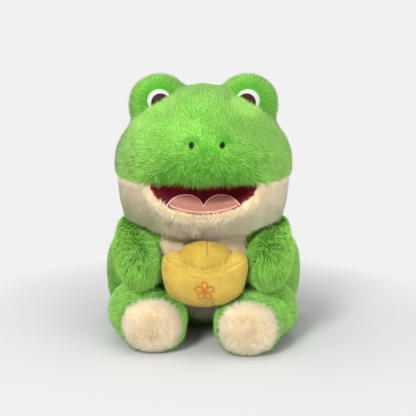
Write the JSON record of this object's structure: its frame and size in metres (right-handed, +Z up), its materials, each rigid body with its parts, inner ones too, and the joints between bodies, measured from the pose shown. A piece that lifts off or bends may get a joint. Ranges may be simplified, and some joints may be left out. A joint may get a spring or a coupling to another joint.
{
  "type": "plush frog",
  "caption": "Sitting soft toy frog with a wide open smile and round eye bumps, holding a small ingot-shaped cushion in both hands, with a head, arms and legs that flex at their seams",
  "frame": {"origin": "the middle of the flat seat, on the surface that the frog sits on", "axes": "+Z up, the frog faces -Y, +X is the frog's own left"},
  "size_m": [0.1922, 0.166, 0.2475],
  "materials": {
    "green_plush": "short and long pile, bright leaf green",
    "cream_plush": "fluffy pile, warm cream",
    "yellow_velour": "short brushed pile, soft yellow",
    "orange_thread": "satin stitch, orange",
    "dark_red_velour": "short pile, dark red",
    "pink_velour": "short pile, soft pink",
    "pink_satin": "satin stitch, light pink",
    "white_stitch": "dense embroidery, white",
    "brown_stitch": "dense embroidery, dark brown",
    "black_stitch": "dense embroidery, near black",
    "wadding": "white polyester fill"
  },
  "bodies": {
    "trunk": {"body_skin": "green_plush", "belly_panel": "cream_plush", "body_stuffing": "wadding", "ingot_boat_skin": "yellow_velour", "ingot_dome_skin": "yellow_velour", "ingot_stuffing": "wadding", "ingot_blossom": "orange_thread"},
    "head": {"head_crown_skin": "green_plush", "head_back_skin": "green_plush", "jaw_skin": "cream_plush", "head_stuffing": "wadding", "mouth_lining": "dark_red_velour", "tongue": "pink_velour", "tongue_edging": "pink_satin", "eye_bump_left_skin": "green_plush", "eye_bump_left_stuffing": "wadding", "eye_bump_right_skin": "green_plush", "eye_bump_right_stuffing": "wadding", "eye_white_left": "white_stitch", "eye_white_right": "white_stitch", "iris_left": "brown_stitch", "iris_right": "brown_stitch", "eye_glint_left": "white_stitch", "eye_glint_right": "white_stitch", "nostril_left": "black_stitch", "nostril_right": "black_stitch"},
    "arm_left": {"arm_left_skin": "green_plush", "arm_left_stuffing": "wadding"},
    "arm_right": {"arm_right_skin": "green_plush", "arm_right_stuffing": "wadding"},
    "leg_left": {"leg_left_skin": "green_plush", "sole_left": "cream_plush", "leg_left_stuffing": "wadding"},
    "leg_right": {"leg_right_skin": "green_plush", "sole_right": "cream_plush", "leg_right_stuffing": "wadding"}
  },
  "joints": [
    {"name": "neck_turn", "type": "hinge", "parent": "trunk", "child": "head", "pos_m": [0, -0.022, 0.1015], "axis": [0, 0, 1], "range_deg": [-20, 20], "stiffness_Nm_per_rad": 0.05},
    {"name": "arm_left_swing", "type": "hinge", "parent": "trunk", "child": "arm_left", "pos_m": [0.0815, -0.004, 0.097], "axis": [0, 0, 1], "range_deg": [0, 35], "stiffness_Nm_per_rad": 0.01},
    {"name": "arm_right_swing", "type": "hinge", "parent": "trunk", "child": "arm_right", "pos_m": [-0.0815, -0.004, 0.097], "axis": [0, 0, -1], "range_deg": [0, 35], "stiffness_Nm_per_rad": 0.01},
    {"name": "leg_left_splay", "type": "hinge", "parent": "trunk", "child": "leg_left", "pos_m": [0.0845, -0.018, 0.029], "axis": [0, 0, 1], "range_deg": [0, 25], "stiffness_Nm_per_rad": 0.02},
    {"name": "leg_right_splay", "type": "hinge", "parent": "trunk", "child": "leg_right", "pos_m": [-0.0845, -0.018, 0.029], "axis": [0, 0, -1], "range_deg": [0, 25], "stiffness_Nm_per_rad": 0.02}
  ]
}
